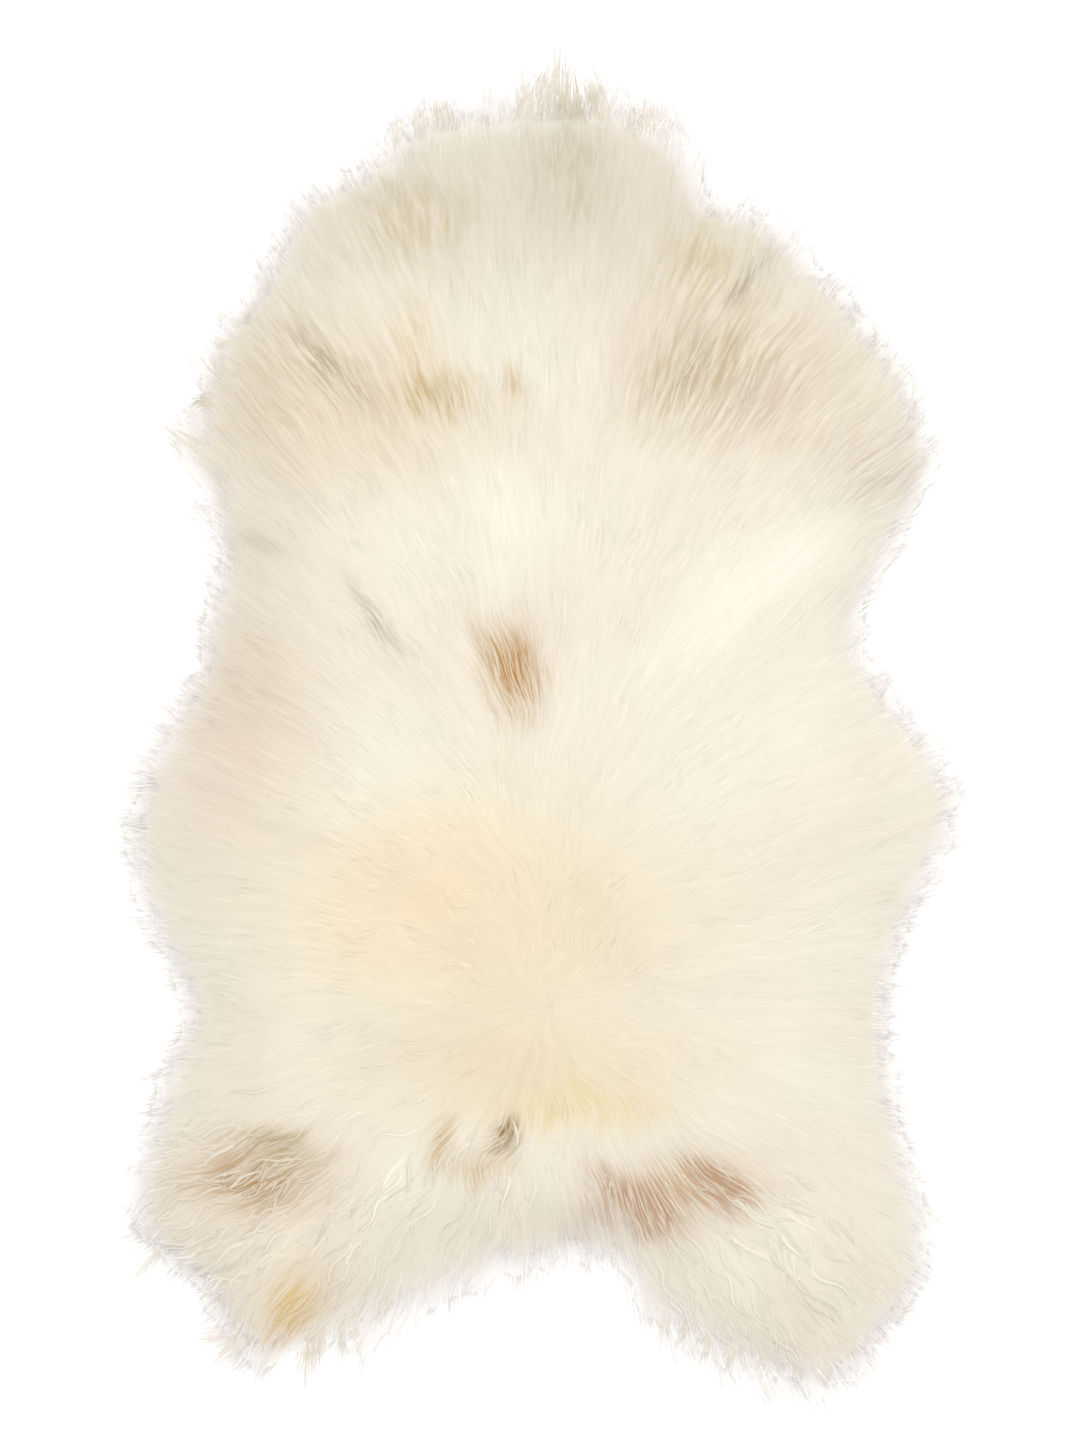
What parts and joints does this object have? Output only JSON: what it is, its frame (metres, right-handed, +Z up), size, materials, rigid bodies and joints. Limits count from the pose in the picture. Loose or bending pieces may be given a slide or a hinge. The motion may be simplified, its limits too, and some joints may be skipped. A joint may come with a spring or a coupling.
{
  "type": "sheepskin rug",
  "caption": "Long-wool sheepskin rug lying flat, wool side up: a tanned hide with the outline of neck, shoulders, flanks and hind legs, and a deep fleece with loose locks all round its rim.",
  "frame": {"origin": "on the floor under the middle of the rug's box, on the flat underside of the hide", "axes": "+X across the rug, to the right in a view from above with the neck at the top; +Y along the back towards the neck; +Z up, out of the wool"},
  "size_m": [0.696, 1.0912, 0.0672],
  "materials": {
    "leather": "tanned suede flesh side, matt",
    "wool": "long undyed cream wool, soft and matt with a slight sheen"
  },
  "bodies": {
    "root": {"hide": "leather", "fleece": "wool"}
  },
  "joints": []
}
